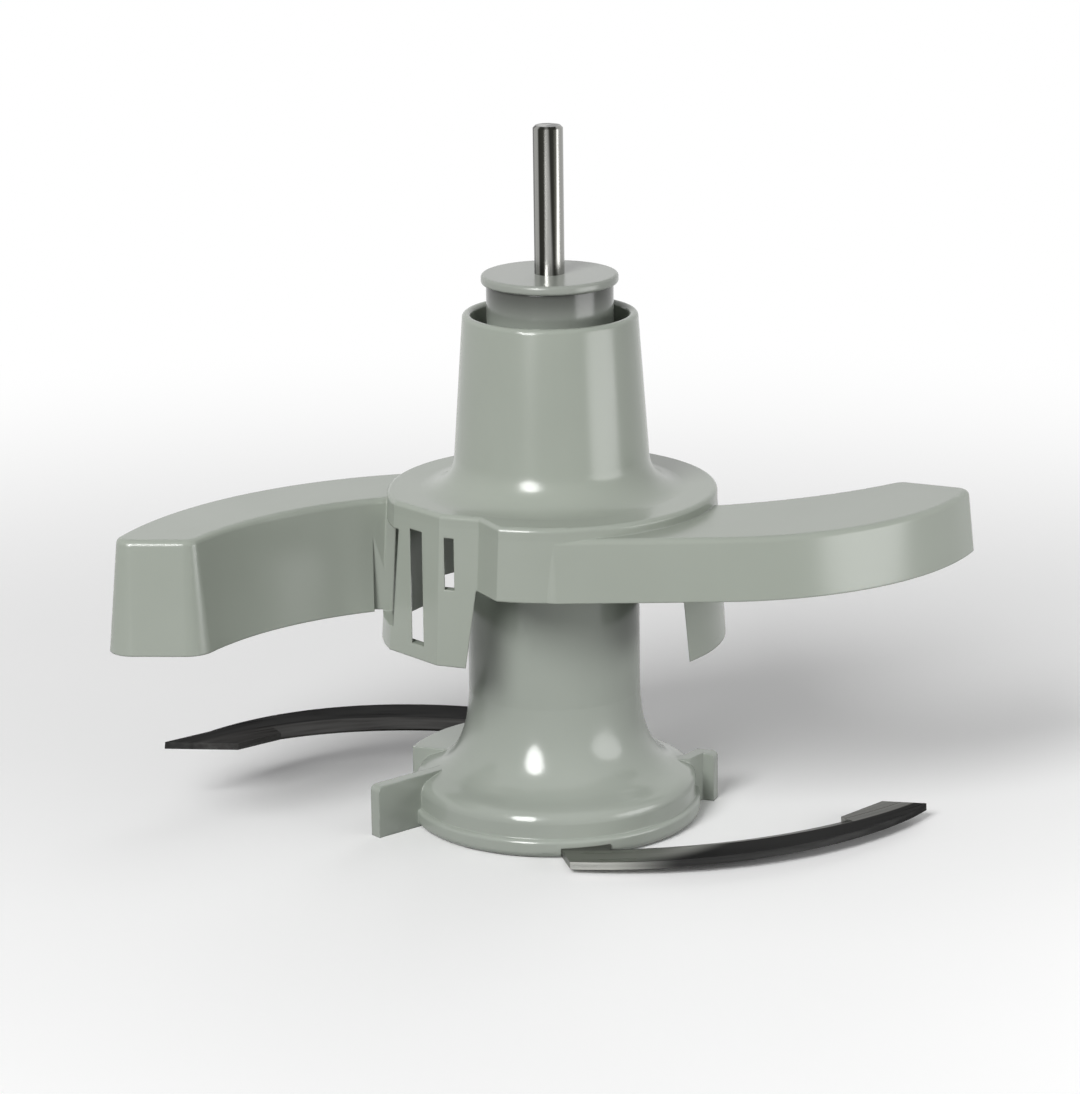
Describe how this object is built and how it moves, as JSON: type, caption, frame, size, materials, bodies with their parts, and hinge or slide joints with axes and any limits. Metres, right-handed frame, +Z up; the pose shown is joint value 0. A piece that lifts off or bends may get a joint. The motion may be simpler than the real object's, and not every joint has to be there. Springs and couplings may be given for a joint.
{
  "type": "food processor blade",
  "caption": "Food processor knife hub with curved sickle blades at its foot and a curved-arm mixing tool dropped over its spindle, topped by a steel locating pin.",
  "frame": {"origin": "centre of the drive bore's mouth, in the plane that the hub's lip stands on", "axes": "+Z up the spindle towards the steel pin, +X towards the wide arm, +Y towards the back, away from the skirt's front gap"},
  "size_m": [0.1727, 0.0798, 0.1423],
  "materials": {
    "grey_plastic": "smooth gloss moulding",
    "blade_steel": "dark polished sheet",
    "pin_steel": "drawn and polished",
    "coupling_steel": "machined"
  },
  "bodies": {
    "root": {"knife_hub": "grey_plastic", "mixing_tool": "grey_plastic", "spindle_cap": "grey_plastic", "lower_blade": "blade_steel", "upper_blade": "blade_steel", "steel_pin": "pin_steel", "drive_coupling": "coupling_steel"}
  },
  "joints": []
}
